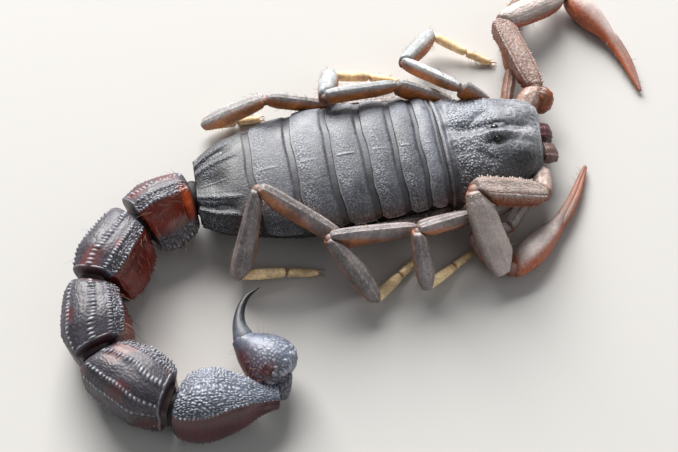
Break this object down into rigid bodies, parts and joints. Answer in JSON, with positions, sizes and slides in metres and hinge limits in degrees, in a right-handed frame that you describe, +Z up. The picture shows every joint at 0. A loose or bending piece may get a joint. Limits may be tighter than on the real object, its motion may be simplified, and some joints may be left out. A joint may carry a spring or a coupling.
{
  "type": "scorpion",
  "caption": "Thick-tailed scorpion lying at rest, slender pincers folded before the head and heavy tail curled on its side, a life-size still model.",
  "frame": {"origin": "bottom centre of the bounding box, on the floor plane under the animal", "axes": "+X towards the head, +Y to the animal's left, +Z up"},
  "size_m": [0.0734, 0.056, 0.0123],
  "materials": {
    "shell": "dark blue-grey granular shell",
    "tail_shell": "purple-black granular shell with polished red-brown hollows",
    "leg": "grey-lilac shell with orange undersides, satin",
    "foot": "straw-yellow shell, satin",
    "claw": "pale lilac-grey shell with red-orange joints, satin",
    "chelicera": "red-purple granular shell",
    "eye": "polished black lens",
    "sting": "polished black"
  },
  "bodies": {
    "root": {"carapace": "shell", "eye_left": "eye", "eye_right": "eye", "chelicera_left": "chelicera", "chelicera_right": "chelicera", "breast": "shell", "mesosoma_1": "shell", "mesosoma_2": "shell", "mesosoma_3": "shell", "mesosoma_4": "shell", "mesosoma_5": "shell", "mesosoma_6": "shell", "mesosoma_7": "shell", "metasoma_1": "tail_shell", "metasoma_2": "tail_shell", "metasoma_3": "tail_shell", "metasoma_4": "tail_shell", "metasoma_5": "tail_shell", "vesicle": "tail_shell", "sting": "sting", "pedipalp_left_femur": "claw", "pedipalp_left_patella": "claw", "pedipalp_left_hand": "claw", "pedipalp_left_finger": "claw", "pedipalp_right_femur": "claw", "pedipalp_right_patella": "claw", "pedipalp_right_hand": "claw", "pedipalp_right_finger": "claw", "leg_left_1_femur": "leg", "leg_left_1_patella": "leg", "leg_left_1_tibia": "leg", "leg_left_1_foot": "foot", "leg_left_2_femur": "leg", "leg_left_2_patella": "leg", "leg_left_2_tibia": "leg", "leg_left_2_foot": "foot", "leg_left_3_femur": "leg", "leg_left_3_patella": "leg", "leg_left_3_tibia": "leg", "leg_left_3_foot": "foot", "leg_left_4_femur": "leg", "leg_left_4_patella": "leg", "leg_left_4_tibia": "leg", "leg_left_4_foot": "foot", "leg_right_1_femur": "leg", "leg_right_1_patella": "leg", "leg_right_1_tibia": "leg", "leg_right_1_foot": "foot", "leg_right_2_femur": "leg", "leg_right_2_patella": "leg", "leg_right_2_tibia": "leg", "leg_right_2_foot": "foot", "leg_right_3_femur": "leg", "leg_right_3_patella": "leg", "leg_right_3_tibia": "leg", "leg_right_3_foot": "foot", "leg_right_4_femur": "leg", "leg_right_4_patella": "leg", "leg_right_4_tibia": "leg", "leg_right_4_foot": "foot"}
  },
  "joints": []
}
